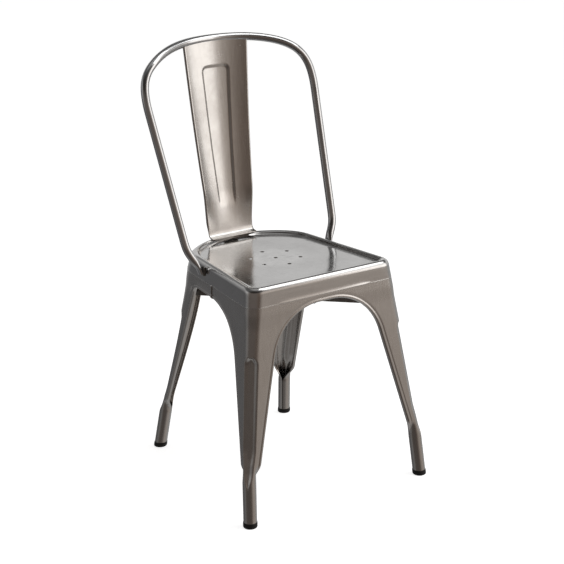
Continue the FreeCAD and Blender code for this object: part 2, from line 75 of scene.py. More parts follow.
KNEE_Z = 0.088              # where the open corner channel closes into the tube
FRONT_KNEE = FRONT_FOOT + Vector((-0.006, 0.009, 0))
REAR_KNEE = REAR_FOOT + Vector((-0.0085, -0.017, 0))
KNEE_R = TUBE_R + LEG_INSET
KNEE_BOW_R = 0.6
CROWN_Z = 0.398             # top of the front and rear arches
SIDE_CROWN_Z = 0.388
SINK_FROM_Z = 0.30          # where the side's rows start to sink towards its lower crown
APRON_TOP_Z = 0.436
SKIRT_Z = SEAT_Z - 0.036    # lower edge of the seat's skirt
RIM_R = 0.007               # rolled rim above the pan
RIM_OUT = 0.0085            # width of its outer and inner halves, and height of the outer roll
RIM_IN = 0.0085
RIM_RISE = 0.0105
RIM_TURN = math.radians(58)  # how far the roll goes down before it meets the pan's slope
HEM = 0.0008                # turned-out edge of the skirt across the front
HEM_HALF = 0.112
HEM_EASE = 0.03
RIM_Z = SEAT_Z - RIM_R - SHEET / 2
PAN_Z = SEAT_Z - RIM_R

SEAT_FRONT_Y = FRONT_FOOT.y + 0.036
SEAT_REAR_Y = SEAT_FRONT_Y + 0.344
FRONT_CORNER_R = 0.025
FRONT_CORNER = Vector((0.162 - FRONT_CORNER_R, SEAT_FRONT_Y + FRONT_CORNER_R, 0))
REAR_CORNER_R = 0.088
REAR_CORNER_HALF = 0.0506
REAR_BOW_R = 0.17
REAR_BOW_Y = SEAT_REAR_Y - REAR_BOW_R
REAR_CORNER_Y = REAR_BOW_Y + math.sqrt((REAR_BOW_R - REAR_CORNER_R) ** 2 - REAR_CORNER_HALF ** 2)
REAR_CORNER = Vector((REAR_CORNER_HALF, REAR_CORNER_Y, 0))
REAR_LEG_TOP = Vector((0.112, SEAT_REAR_Y - 0.09, 0))
REAR_LEG_TOP_R = 0.022
REAR_BLEND_POWER = 5        # how late the rear corner opens out to the seat's bow

# channel arms: corner centre to free edge at the knee and at the crown, and the arch's radius
FRONT_ARM = (0.015, 0.045, 0.108)
SIDE_FRONT_ARM = (0.0096, 0.060, 0.120)
SIDE_REAR_ARM = (0.015, 0.027, 0.020)
REAR_ARM = (0.016, 0.044, 0.058)
FLARE = 0.035               # height over which the tube opens out into the channel
LIP = 0.010                 # width of the beaded lip along every arch
LIP_PROFILE = ((0.0014, 0.0007), (0.0028, 0.0010), (0.0042, 0.0004), (0.0056, -0.0001),
               (0.0070, 0.0001), (0.0084, 0.0008), (0.0095, 0.0021), (0.0100, 0.0038),
               (0.0100, 0.0056), (0.0094, 0.0078))
SEAM_TURN = math.radians(177)
OPEN_TURN = math.radians(132)

# pressed flute down each leg's corner
FLUTE_TOP_Z = 0.322
FLUTE_FOOT_Z = 0.076
FLUTE_HALF = 0.0165
FLUTE_DEPTH = 0.0075
FLUTE_WALL = 0.0135
FLUTE_WIDEN = 0.07          # height above its foot where the flute has its full width
FLUTE_TIP = 0.03            # height of its rounded tip

# back hoop
HOOP_R = 0.008
HOOP_ROOT_BACK = 0.203
HOOP_ROOT_DROP = 0.022
HOOP_LOW_HALF = 0.1718      # half width, rise and backward run where it clears the rim
HOOP_LOW_RISE = 0.032
HOOP_LOW_BACK = 0.017
HOOP_MIDDLE_Z = 0.6         # height from which the hoop's outward side is reckoned
HOOP_FLAT_LENGTH = 0.010    # fully flattened length of each end
HOOP_FLAT_RUN = 0.022       # over which it grows round again
HOOP_THINNER = 0.42         # share of the radius lost against the skirt
HOOP_WIDER = 0.22
HOOP_WIDE_HALF = 0.1925
HOOP_SHOULDER_DROP = 0.102
HOOP_SHOULDER_POWER = 3.0
HOOP_LEAN = 0.344
HOOP_BOW = 0.044
HOOP_BOW_HALF = 0.165
HOOP_BOW_RISE = 0.06        # height above the shoulders over which the bow sets in

# splat
SPLAT_TOP_HALF = 0.0735
SPLAT_FOOT_HALF = 0.052
SPLAT_HOLLOW = 0.012
HOLLOW_RATE = 4             # the hollow is complete at a quarter of the splat's height
SPLAT_SETBACK = 0.010       # bend of the foot in front of the middle of the rim
SPLAT_LIP = 0.006
SPLAT_BEND_R = 0.008
SPLAT_TOP_AHEAD = 0.0065    # face of the splat in front of the hoop's centre line
SPLAT_BOW = 0.005
SPLAT_FOLD = 0.0027         # width that the rolled edge adds on each side
PANEL_TOP_Z = 0.790
PANEL_FOOT_Z = 0.505
PANEL_TOP_HALF = 0.032
PANEL_FOOT_HALF = 0.0195
PANEL_CORNER = 0.012
PANEL_DEPTH = 0.0024
PANEL_WALL = 0.004

PAN_DISH = 0.0012           # how far the middle of the pan lies below its edge
PAN_DISC_R = 0.066          # flat middle, with the drain holes
PAN_RINGS = 10
HOLE_R = 0.004
HOLE_PITCH = 0.0487
HOLE_CENTRE_BACK = 0.168

CAMERA_TARGET = Vector((0.00007, -0.02976, 0.39511))
CAMERA_DISTANCE = 3.0274
CAMERA_AZIMUTH = math.radians(-33.0)
CAMERA_ELEVATION = math.radians(18.17)
CAMERA_ROLL = -0.02
CAMERA_LENS = 98.85


# ---------------------------------------------------------------- camera, floor and light
def add_camera():
    """The studio camera, aimed at the middle of the chair and turned by its small roll."""
    back = Vector((math.sin(CAMERA_AZIMUTH) * math.cos(CAMERA_ELEVATION),
                   -math.cos(CAMERA_AZIMUTH) * math.cos(CAMERA_ELEVATION),
                   math.sin(CAMERA_ELEVATION)))
    across = Vector((0, 0, 1)).cross(back).normalized()
    upward = back.cross(across)
    turned_across = across * math.cos(CAMERA_ROLL) + upward * math.sin(CAMERA_ROLL)
    turned_up = upward * math.cos(CAMERA_ROLL) - across * math.sin(CAMERA_ROLL)
    data = bpy.data.cameras.new("studio_camera")
    data.lens = CAMERA_LENS
    camera = bpy.data.objects.new("studio_camera", data)
    turn = Matrix((turned_across, turned_up, back)).transposed().to_4x4()
    camera.matrix_world = Matrix.Translation(CAMERA_TARGET + back * CAMERA_DISTANCE) @ turn
    bpy.context.scene.collection.objects.link(camera)
    bpy.context.scene.camera = camera


def show_camera(tree, seen, unseen, output):
    """Gives the camera one shader and every other ray another."""
    path = tree.nodes.new("ShaderNodeLightPath")
    blend = tree.nodes.new("ShaderNodeMixShader")
    tree.links.new(path.outputs["Is Camera Ray"], blend.inputs["Fac"])
    tree.links.new(unseen.outputs[0], blend.inputs[1])
    tree.links.new(seen.outputs[0], blend.inputs[2])
    tree.links.new(blend.outputs["Shader"], output.inputs["Surface"])


def add_floor():
    """Pale glowing floor that only the camera sees; other rays pass through it."""
    mesh = bmesh.new()
    bmesh.ops.create_grid(mesh, x_segments=2, y_segments=2, size=9)
    data = bpy.data.meshes.new("studio_floor")
    mesh.to_mesh(data)
    mesh.free()
    floor = bpy.data.objects.new("studio_floor", data)
    bpy.context.scene.collection.objects.link(floor)
    finish = bpy.data.materials.new("pale_floor")
    finish.use_nodes = True
    tree = finish.node_tree
    shader = tree.nodes["Principled BSDF"]
    for label, value in (("Base Color", (0.8, 0.8, 0.8, 1)), ("Roughness", 0.9),
                         ("Specular IOR Level", 0.0), ("Emission Color", (1, 1, 1, 1)),
                         ("Emission Strength", 0.8)):
        shader.inputs[label].default_value = value
    clear = tree.nodes.new("ShaderNodeBsdfTransparent")
    show_camera(tree, shader, clear, tree.nodes["Material Output"])
    data.materials.append(finish)


def add_softbox(name, place, target, size, power):
    """Rectangular lamp at a place, facing a target."""
    data = bpy.data.lights.new(name, "AREA")
    data.shape = "RECTANGLE"
    data.size = size[0]
    data.size_y = size[1]
    data.energy = power
    lamp = bpy.data.objects.new(name, data)
    lamp.location = place
    lamp.rotation_euler = (Vector(target) - Vector(place)).to_track_quat("-Z", "Y").to_euler()
    bpy.context.scene.collection.objects.link(lamp)


ROOM_BANDS = ((0.0, 0.46), (0.43, 0.45), (0.485, 0.48), (0.505, 0.76), (0.69, 0.76),
              (0.755, 0.16), (0.92, 0.14), (1.0, 0.5))   # height of a direction, brightness
DARK_SIDE = (-0.707, -0.707, 0.0)
WARM_SIDE = (0.45, -0.89, -0.1)
DULL_SIDE = (-0.52, 0.80, -0.30)


def add_surround():
    """White for the camera, and a room with pale, warm, dull and dark sides to reflect."""
    world = bpy.data.worlds.new("studio")
    bpy.context.scene.world = world
    world.use_nodes = True
    tree = world.node_tree
    nodes = tree.nodes
    links = tree.links
    nodes.clear()
    output = nodes.new("ShaderNodeOutputWorld")
    plain = nodes.new("ShaderNodeBackground")
    plain.inputs["Color"].default_value = (1, 1, 1, 1)
    room = nodes.new("ShaderNodeBackground")
    place = nodes.new("ShaderNodeTexCoord")
    split = nodes.new("ShaderNodeSeparateXYZ")
    links.new(place.outputs["Generated"], split.inputs[0])
    ramp = nodes.new("ShaderNodeValToRGB")
    stops = ramp.color_ramp.elements
    while len(stops) < len(ROOM_BANDS):
        stops.new(0.5)
    for stop, (height, level) in zip(stops, ROOM_BANDS):
        stop.position = height
        stop.color = (level, level, level, 1)
    links.new(add_range(tree, split.outputs["Z"], -1.0, 1.0, 0.0, 1.0), ramp.inputs["Fac"])
    colour = ramp.outputs["Color"]
    for side, low, high, tint in ((WARM_SIDE, 0.55, 0.9, (1.05, 0.93, 0.84, 1)),
                                  (DULL_SIDE, 0.66, 0.94, (0.32, 0.32, 0.33, 1)),
                                  (DARK_SIDE, 0.30, 0.72, (0.25, 0.215, 0.195, 1))):
        toward = nodes.new("ShaderNodeVectorMath")
        toward.operation = "DOT_PRODUCT"
        toward.inputs[1].default_value = side
        links.new(place.outputs["Generated"], toward.inputs[0])
        share = add_range(tree, toward.outputs["Value"], low, high, 0.0, 1.0)
        colour = add_mix(tree, share, colour, tint, "MULTIPLY")
    links.new(colour, room.inputs["Color"])
    show_camera(tree, plain, room, output)


# ---------------------------------------------------------------- effects shared by the finishes
def new_group(name, inputs, outputs):
    """Node group with the named inputs (name, kind, value) and outputs (name, kind)."""
    group = bpy.data.node_groups.new(name, "ShaderNodeTree")
    for label, kind, value in inputs:
        socket = group.interface.new_socket(label, in_out="INPUT", socket_type="NodeSocket" + kind)
        if value is not None:
            socket.default_value = value
    for label, kind in outputs:
        group.interface.new_socket(label, in_out="OUTPUT", socket_type="NodeSocket" + kind)
    start = group.nodes.new("NodeGroupInput")
    end = group.nodes.new("NodeGroupOutput")
    return group, start.outputs, end.inputs


def feed(tree, socket, value):
    """Links a socket to another node's output, or sets it to a plain value."""
    if isinstance(value, bpy.types.NodeSocket):
        tree.links.new(value, socket)
    else:
        socket.default_value = value


def add_math(tree, operation, first, second):
    node = tree.nodes.new("ShaderNodeMath")
    node.operation = operation
    feed(tree, node.inputs[0], first)
    feed(tree, node.inputs[1], second)
    return node.outputs["Value"]


def add_range(tree, value, low, high, new_low, new_high):
    """The value, moved from one range to another and held inside it."""
    node = tree.nodes.new("ShaderNodeMapRange")
    for label, given in (("Value", value), ("From Min", low), ("From Max", high),
                         ("To Min", new_low), ("To Max", new_high)):
        feed(tree, node.inputs[label], given)
    return node.outputs["Result"]


def add_mix(tree, share, first, second, kind="MIX"):
    """Blend of two colours; 0, 6, 7 and 2 are the Mix node's factor and colour sockets."""
    node = tree.nodes.new("ShaderNodeMix")
    node.data_type = "RGBA"
    node.blend_type = kind
    for index, given in ((0, share), (6, first), (7, second)):
        feed(tree, node.inputs[index], given)
    return node.outputs[2]


def add_noise(tree, vector, scale, detail, rough=0.5):
    node = tree.nodes.new("ShaderNodeTexNoise")
    for label, given in (("Vector", vector), ("Scale", scale), ("Detail", detail),
                         ("Roughness", rough)):
        feed(tree, node.inputs[label], given)
    return node.outputs["Fac"]


def make_mill_grain():
    """Fine rolling lines of the sheet: streaks stretched along one axis."""
    group, given, out = new_group(
        "mill_grain", [("Vector", "Vector", None), ("Stretch", "Vector", (220, 220, 9))],
        [("Streaks", "Float"), ("Height", "Float")])
    scaled = group.nodes.new("ShaderNodeVectorMath")
    scaled.operation = "MULTIPLY"
    group.links.new(given["Vector"], scaled.inputs[0])
    group.links.new(given["Stretch"], scaled.inputs[1])
    streaks = add_noise(group, scaled.outputs["Vector"], 1.0, 4.0, 0.6)
    pits = add_noise(group, given["Vector"], 900.0, 2.0)
    group.links.new(add_range(group, streaks, 0.3, 0.7, 0.0, 1.0), out["Streaks"])
    group.links.new(add_math(group, "ADD", add_math(group, "MULTIPLY", streaks, 0.8),
                             add_math(group, "MULTIPLY", pits, 0.25)), out["Height"])
    return group


def make_mottle():
    """Cloudy heat and oil tone of bare steel under lacquer."""
    group, given, out = new_group(
        "lacquer_mottle", [("Vector", "Vector", None), ("Scale", "Float", 14.0),
                           ("Light", "Color", (0.42, 0.40, 0.37, 1)),
                           ("Dark", "Color", (0.30, 0.27, 0.24, 1))],
        [("Color", "Color"), ("Cloud", "Float")])
    large = add_noise(group, given["Vector"], given["Scale"], 5.0, 0.6)
    small = add_noise(group, given["Vector"],
                      add_math(group, "MULTIPLY", given["Scale"], 7.0), 3.0)
    cloud = add_math(group, "ADD", add_math(group, "MULTIPLY", large, 0.75),
                     add_math(group, "MULTIPLY", small, 0.25))
    cloud = add_range(group, cloud, 0.32, 0.68, 0.0, 1.0)
    group.links.new(add_mix(group, cloud, given["Dark"], given["Light"]), out["Color"])
    group.links.new(cloud, out["Cloud"])
    return group


def make_edge_rub():
    """Brighter, smoother metal where edges have been rubbed."""
    group, given, out = new_group(
        "edge_rub", [("Vector", "Vector", None), ("Start", "Float", 0.54),
                     ("Full", "Float", 0.64)], [("Mask", "Float")])
    shape = group.nodes.new("ShaderNodeNewGeometry")
    rub = add_range(group, shape.outputs["Pointiness"], given["Start"], given["Full"], 0.0, 1.0)
    broken = add_noise(group, given["Vector"], 60.0, 4.0, 0.65)
    broken = add_range(group, broken, 0.35, 0.6, 0.2, 1.0)
    group.links.new(add_math(group, "MULTIPLY", rub, broken), out["Mask"])
    return group


def place_group(tree, group, values):
    """Puts a shared effect into a finish, with some of its inputs given."""
    node = tree.nodes.new("ShaderNodeGroup")
    node.node_tree = group
    for label, value in values.items():
        feed(tree, node.inputs[label], value)
    return node.outputs


def add_bump(tree, height, strength, distance):
    node = tree.nodes.new("ShaderNodeBump")
    for label, given in (("Strength", strength), ("Distance", distance), ("Height", height)):
        feed(tree, node.inputs[label], given)
    return node.outputs["Normal"]


def new_finish(name, **plain):
    """Material with the shader's uniform values, its tree, its shader and Object coordinates."""
    finish = bpy.data.materials.new(name)
    finish.use_nodes = True
    tree = finish.node_tree
    shader = tree.nodes["Principled BSDF"]
    for label, value in plain.items():
        shader.inputs[label.replace("_", " ")].default_value = value
    place = tree.nodes.new("ShaderNodeTexCoord")
    return finish, tree, shader, place.outputs["Object"]


def finish_with(tree, shader, colour, rough, normal):
    """Links a finish's colour, roughness and bump to its shader."""
    for label, given in (("Base Color", colour), ("Roughness", rough), ("Normal", normal)):
        tree.links.new(given, shader.inputs[label])


def make_steel(name, light, dark, stretch, rough, groups, cloud_scale=14.0, lacquer=0.35,
               grain=0.12):
    """Lacquered bare steel, with mill lines that run along the axis stretched least."""
    finish, tree, shader, place = new_finish(name, Metallic=1.0, Coat_Weight=lacquer,
                                             Coat_Roughness=0.12, Coat_IOR=1.5)
    mill = place_group(tree, groups["mill"], {"Vector": place, "Stretch": stretch})
    mottle = place_group(tree, groups["mottle"], {"Vector": place, "Scale": cloud_scale,
                                                  "Light": (*light, 1), "Dark": (*dark, 1)})
    rub = place_group(tree, groups["rub"], {"Vector": place})
    bright = tuple(min(1.0, c * 1.35) for c in light)
    colour = add_mix(tree, add_math(tree, "MULTIPLY", mill["Streaks"], 0.16), mottle["Color"],
                     (*bright, 1))
    colour = add_mix(tree, add_math(tree, "MULTIPLY", rub["Mask"], 0.5), colour, (*bright, 1))
    level = add_range(tree, mottle["Cloud"], 0.0, 1.0, rough + 0.05, rough - 0.04)
    level = add_math(tree, "ADD", level, add_math(tree, "MULTIPLY", mill["Streaks"], 0.05))
    level = add_math(tree, "SUBTRACT", level, add_math(tree, "MULTIPLY", rub["Mask"], 0.05))
    finish_with(tree, shader, colour, level, add_bump(tree, mill["Height"], grain, 0.0002))
    return finish


def make_weld_finish(groups):
    """Weld bead: mottled grey with a faint straw tint over a coarse skin."""
    finish, tree, shader, place = new_finish("weld_bead_steel", Metallic=1.0)
    tint = add_noise(tree, place, 260.0, 3.0)
    mottle = place_group(tree, groups["mottle"], {"Vector": place, "Scale": 180.0,
                                                  "Light": (0.34, 0.33, 0.31, 1),
                                                  "Dark": (0.16, 0.155, 0.155, 1)})
    colour = add_mix(tree, add_range(tree, tint, 0.45, 0.65, 0.0, 0.7), mottle["Color"],
                     (0.30, 0.26, 0.21, 1))
    finish_with(tree, shader, colour, add_range(tree, tint, 0.3, 0.7, 0.34, 0.55),
                add_bump(tree, tint, 0.5, 0.0006))
    return finish


def make_moulded(name, groups, specular, cloud_scale, light, dark, scuff, edges, rough, skin):
    """Dark moulded rubber or plastic: cloudy tone, paler rubbed edges and a fine skin."""
    finish, tree, shader, place = new_finish(name, Specular_IOR_Level=specular)
    mottle = place_group(tree, groups["mottle"], {"Vector": place, "Scale": cloud_scale,
                                                  "Light": (*light, 1), "Dark": (*dark, 1)})
    rub = place_group(tree, groups["rub"], {"Vector": place, **edges})
    share, pale = scuff
    colour = add_mix(tree, add_math(tree, "MULTIPLY", rub["Mask"], share), mottle["Color"],
                     (pale, pale, pale, 1))
    scale, detail, strength, distance = skin
    bump = add_bump(tree, add_noise(tree, place, scale, detail), strength, distance)
    finish_with(tree, shader, colour, add_range(tree, mottle["Cloud"], 0.0, 1.0, *rough), bump)
    return finish


def make_finishes():
    """Every finish of the chair by name, all built on the same shared effects."""
    groups = {"mill": make_mill_grain(), "mottle": make_mottle(), "rub": make_edge_rub()}
    return {
        "leg": make_steel("leg_steel", (0.47, 0.455, 0.44), (0.41, 0.39, 0.37),
                          (260, 260, 7), 0.23, groups, grain=0.05),
        "seat": make_steel("seat_steel", (0.50, 0.49, 0.48), (0.43, 0.42, 0.41),
                           (8, 240, 240), 0.13, groups, lacquer=0.5, grain=0.025),
        "splat": make_steel("splat_steel", (0.50, 0.485, 0.465), (0.43, 0.41, 0.39),
                            (260, 260, 7), 0.20, groups, lacquer=0.45, grain=0.04),
        "tube": make_steel("hoop_tube_steel", (0.48, 0.48, 0.48), (0.40, 0.40, 0.40),
                           (300, 300, 30), 0.15, groups, cloud_scale=30.0, lacquer=0.5,
                           grain=0.04),
        # painted shade: the brace bars are the same steel as the legs, but their colour is
        # darkened here to stand in for the shade under the seat
        "brace": make_steel("brace_bar_steel_painted_shade", (0.26, 0.25, 0.24), (0.17, 0.16, 0.15),
                            (12, 12, 320), 0.38, groups, cloud_scale=24.0, lacquer=0.2),
        "weld": make_weld_finish(groups),
        "rubber": make_moulded("foot_rubber_black", groups, 0.35, 120.0, (0.018, 0.018, 0.018),
                               (0.007, 0.007, 0.007), (0.5, 0.05), {"Start": 0.52, "Full": 0.62},
                               (0.52, 0.7), (1500.0, 2.0, 0.25, 0.0003)),
        "plastic": make_moulded("pad_plastic_dark", groups, 0.45, 60.0, (0.032, 0.032, 0.034),
                                (0.020, 0.020, 0.021), (0.4, 0.09), {}, (0.38, 0.5),
                                (2200.0, 1.0, 0.2, 0.0002)),
    }


# ---------------------------------------------------------------- the chair's outer surface
def smooth(share):
    """0 to 1 with level ends, held at them outside the range."""
    share = min(1.0, max(0.0, share))
    return share * share * (3 - 2 * share)


def between(low, high, z):
    """Value at height z of something that runs straight from the knee to the seat rim."""
    return low + (high - low) * ((z - KNEE_Z) / (RIM_Z - KNEE_Z))


def front_corner(z):
    return between(FRONT_KNEE, FRONT_CORNER, z)


def rear_line(z):
    return between(REAR_KNEE, REAR_LEG_TOP, z)


def rear_blend(z):
    share = min(1.0, max(0.0, (z - KNEE_Z) / (SKIRT_Z - KNEE_Z)))
    return share ** REAR_BLEND_POWER


def rear_corner(z):
    return rear_line(z) + (REAR_CORNER - REAR_LEG_TOP) * rear_blend(z)


def front_radius(z):
    return between(KNEE_R, FRONT_CORNER_R, z)


def rear_radius(z):
    return between(KNEE_R, REAR_LEG_TOP_R, z) + (REAR_CORNER_R - REAR_LEG_TOP_R) * rear_blend(z)


def side_normal(z):
    """Outward normal of the right side, tangent to the front and rear corner circles."""
    run = rear_corner(z) - front_corner(z)
    along = (front_radius(z) - rear_radius(z)) / run.length
    forward = run.normalized()
    outward = Vector((forward.y, -forward.x, 0))
    return forward * along + outward * math.sqrt(1 - along ** 2)


def rear_bow(z):
    """Centre and radius of the bowed rear face at height z."""
    corner = rear_corner(z)
    radius = between(KNEE_BOW_R, REAR_BOW_R, z)
    reach = radius - rear_radius(z)
    return Vector((0, corner.y - math.sqrt(reach ** 2 - corner.x ** 2), 0)), radius


def front_face(x, z, inset):
    return Vector((x, front_corner(z).y - front_radius(z) + inset, z)), Vector((0, 1, 0))


def side_face(y, z, inset):
    """Point of the right side at depth y, and the way into the chair."""
    normal = side_normal(z)
    start = front_corner(z) + normal * (front_radius(z) - inset)
    run = Vector((-normal.y, normal.x, 0))
    return start + run * ((y - start.y) / run.y) + Vector((0, 0, z)), -normal


def rear_face(x, z, inset):
    centre, radius = rear_bow(z)
    reach = Vector((x, math.sqrt((radius - inset) ** 2 - x ** 2), 0))
    return centre + reach + Vector((0, 0, z)), -reach.normalized()


def heading(turn):
    """Level direction at an angle round from the front, towards the right."""
    return Vector((math.sin(turn), -math.cos(turn), 0))


def turn_of(direction):
    return math.atan2(direction.x, -direction.y)


def corner_turns(end, z):
    """Centre, radius and first and last direction of a leg's rounded corner."""
    side_turn = turn_of(side_normal(z))
    if end == "front":
        return front_corner(z), front_radius(z), 0.0, side_turn
    corner = rear_corner(z)
    return corner, rear_radius(z), side_turn, turn_of(corner - rear_bow(z)[0])


PLAN_STEPS = (16, 12, 24, 18, 16)   # half front, corner, side, rear corner, half rear bow


def plan_point(step, z, inset):
    """Point of the right half of the plan, from mid front round to mid rear."""
    front_c, front_r, low, high = corner_turns("front", z)
    rear_c, rear_r, rear_low, rear_high = corner_turns("rear", z)
    bow_c, bow_r = rear_bow(z)
    part = 0
    while part < len(PLAN_STEPS) - 1 and step > PLAN_STEPS[part]:
        step -= PLAN_STEPS[part]
        part += 1
    share = step / PLAN_STEPS[part]
    lift = Vector((0, 0, z))
    if part == 0:
        return front_face(front_c.x * share, z, inset)[0]
    if part == 2:
        start = front_c + heading(high) * (front_r - inset)
        stop = rear_c + heading(rear_low) * (rear_r - inset)
        return start + (stop - start) * share + lift
    arcs = {1: (front_c, front_r, low, high), 3: (rear_c, rear_r, rear_low, rear_high),
            4: (bow_c, bow_r, rear_high, math.pi)}
    centre, radius, first, last = arcs[part]
    return centre + heading(first + (last - first) * share) * (radius - inset) + lift


def ring_point(index, z, inset):
    """Point of the whole plan outline, counted round from mid front."""
    half = sum(PLAN_STEPS)
    if index <= half:
        return plan_point(index, z, inset)
    point = plan_point(2 * half - index, z, inset)
    return Vector((-point.x, point.y, point.z))


# ---------------------------------------------------------------- bench tools
SHARP_TURN = math.radians(40)


def extrude_on(mesh, edges, marks, place):
    """Extrudes edges; each new point keeps its parent's mark and goes where place puts it."""
    made = bmesh.ops.extrude_edge_only(mesh, edges=edges)["geom"]
    fresh = {}
    for point in made:
        if not isinstance(point, bmesh.types.BMVert):
            continue
        near = [edge.other_vert(point) for edge in point.link_edges]
        fresh[point] = next(marks[other] for other in near if other in marks)
    for point, mark in fresh.items():
        point.co = place(mark)
    lines = [item for item in made if isinstance(item, bmesh.types.BMEdge)
             and item.verts[0] in fresh and item.verts[1] in fresh]
    return lines, fresh


def swept_rings(count, rings, place):
    """Shell through a number of rings of points, each point placed by ring and index."""
    mesh = bmesh.new()
    made = bmesh.ops.create_circle(mesh, segments=count, radius=1)["verts"]
    marks = {point: index for index, point in enumerate(made)}
    for point, index in marks.items():
        point.co = place(0, index)
    edges = list(mesh.edges)
    first = list(edges)
    for ring in range(1, rings):
        edges, marks = extrude_on(mesh, edges, marks, lambda index: place(ring, index))
    return mesh, first, edges


def capped_sweep(count, rings, place):
    """The same shell with a face over each of its ends."""
    mesh, *ends = swept_rings(count, rings, place)
    for loop in ends:
        bmesh.ops.contextual_create(mesh, geom=loop)
    return mesh


def border_edges(mesh, marks):
    """Edges of the sheet's border between two marked points."""
    return [edge for edge in mesh.edges if edge.is_boundary
            and edge.verts[0] in marks and edge.verts[1] in marks]


def sheet_grid(columns, rows, place):
    """Grid of faces placed by formula, and the (column, row) of every point."""
    mesh = bmesh.new()
    bmesh.ops.create_grid(mesh, x_segments=columns, y_segments=rows, size=1)
    marks = {}
    for point in mesh.verts:
        column = round((point.co.x + 1) / 2 * columns)
        row = round((point.co.y + 1) / 2 * rows)
        marks[point] = (column, row)
        point.co = place(column, row)
    return mesh, marks


def turn_outwards(mesh, inside):
    """Makes the faces point away from a place inside the piece."""
    bmesh.ops.recalc_face_normals(mesh, faces=mesh.faces)
    total = sum(face.normal.dot(face.calc_center_median() - inside) * face.calc_area()
                for face in mesh.faces)
    if total < 0:
        bmesh.ops.reverse_faces(mesh, faces=mesh.faces)


def mirrored_copy(mesh):
    """The same shape for the other side of the chair, with its faces still outwards."""
    other = mesh.copy()
    bmesh.ops.scale(other, vec=(-1, 1, 1), verts=other.verts)
    bmesh.ops.reverse_faces(other, faces=other.faces)
    return other


def add_piece(name, mesh, finish, replaced, wall=0.0):
    """Turns a bench mesh into a piece of the chair; wall is the sheet thickness, inwards."""
    data = bpy.data.meshes.new(name)
    mesh.to_mesh(data)
    mesh.free()
    data.materials.append(finish)
    piece = bpy.data.objects.new(name, data)
    bpy.context.scene.collection.objects.link(piece)
    if wall > 0:
        shell = piece.modifiers.new("sheet", "SOLIDIFY")
        shell.thickness = wall
        shell.offset = -1
        graph = bpy.context.evaluated_depsgraph_get()
        data = bpy.data.meshes.new_from_object(piece.evaluated_get(graph))
        data.name = name
        piece.modifiers.clear()
        piece.data = data
    data.shade_smooth()
    data.set_sharp_from_angle(angle=SHARP_TURN)
    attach(piece, "root")
    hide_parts(*replaced)


def add_pair(name, ending, right, finish, wall=0.0):
    """A right-hand piece and its mirror image; the name leaves room for the side."""
    for word, mesh in (("right", right), ("left", mirrored_copy(right))):
        add_piece(name % word + ending, mesh, finish, [name % word], wall)


# ---------------------------------------------------------------- legs
LEG_ARM_STEPS = 12
LEG_CORNER_STEPS = 26
LEG_APRON_STEPS = 14
ARM_END = LEG_APRON_STEPS + LEG_ARM_STEPS
CORNER_END = ARM_END + LEG_CORNER_STEPS
SIDE_END = CORNER_END + LEG_ARM_STEPS
LEG_COLUMNS = SIDE_END + LEG_APRON_STEPS
LEG_ROW_BANDS = ((0.004, 0.011, 6), (0.068, 0.0025, 28), (0.140, 0.006, 26), (0.294, 0.002, 16))
ARCH_ROWS = 26
ARCH_ROWS_DEPTH = 0.080     # how far below the crown the arch has rows of its own
LEAST_ROW = 0.0002
JOGGLE_ROWS = (-0.0016, -0.0008, -0.0001, 0.0012)


def arch_side(corner_at, axis, way, arm, crown):
    """Elevation of one side of an arch: start, slope, radius, way into the opening, crown."""
    low, high, radius = arm
    start = corner_at(KNEE_Z)[axis] + way * low
    slope = (corner_at(crown)[axis] + way * high - start) / (crown - KNEE_Z)
    return start, slope, radius, way, crown


def sunk(arch, z, share):
    """Height that a row of points takes beside an arch whose crown is lower than the rest."""
    top = CROWN_Z + LIP
    if z > top + 1e-6:
        return z
    return z - (CROWN_Z - arch[4]) * share * smooth((z - SINK_FROM_Z) / (top - SINK_FROM_Z))


def free_edge(arch, z, back):
    """Edge coordinate at height z, set back into the sheet, and the way into the opening."""
    start, slope, radius, way, crown = arch
    tilt = math.hypot(1, slope)
    centre_z = crown - radius
    centre = start + slope * (centre_z - KNEE_Z) + way * radius * tilt
    touch_z = centre_z + (radius + back) * way * slope / tilt
    if z < touch_z:
        return start + slope * (z - KNEE_Z) - way * back * tilt, (way / tilt, -way * slope / tilt)
    rise = min(z - centre_z, radius + back)
    reach = math.sqrt((radius + back) ** 2 - rise ** 2)
    return centre - way * reach, (way * reach / (radius + back), -rise / (radius + back))


FRONT_ARCH = arch_side(front_corner, 0, -1, FRONT_ARM, CROWN_Z)
SIDE_ARCH_FRONT = arch_side(front_corner, 1, 1, SIDE_FRONT_ARM, SIDE_CROWN_Z)
SIDE_ARCH_REAR = arch_side(rear_line, 1, -1, SIDE_REAR_ARM, SIDE_CROWN_Z)
REAR_ARCH = arch_side(rear_line, 0, -1, REAR_ARM, CROWN_Z)
SPLIT_Y = (front_corner(SIDE_CROWN_Z).y + SIDE_FRONT_ARM[1]
           + rear_line(SIDE_CROWN_Z).y - SIDE_REAR_ARM[1]) / 2

LEG_SIDES = {"front": ((front_face, FRONT_ARCH, 0, 0.0), (side_face, SIDE_ARCH_FRONT, 1, SPLIT_Y)),
             "rear": ((side_face, SIDE_ARCH_REAR, 1, SPLIT_Y), (rear_face, REAR_ARCH, 0, 0.0))}


def leg_heights():
    """Heights of the leg's rows: close together where it changes quickly."""
    heights = [start + step * i for start, step, count in LEG_ROW_BANDS for i in range(count)]
    top = CROWN_Z + LIP
    heights += [top - ARCH_ROWS_DEPTH * (1 - math.sin(math.pi / 2 * i / ARCH_ROWS))
                for i in range(1, ARCH_ROWS)]
    kept = []
    for z in sorted(heights):
        if not kept or z - kept[-1] > LEAST_ROW:
            kept.append(z)
    kept.append(top)
    crown_row = len(kept) - 1
    kept += [SKIRT_Z + rise for rise in JOGGLE_ROWS]
    kept += [0.424, APRON_TOP_Z]
    return kept, crown_row


LEG_Z, CROWN_ROW = leg_heights()


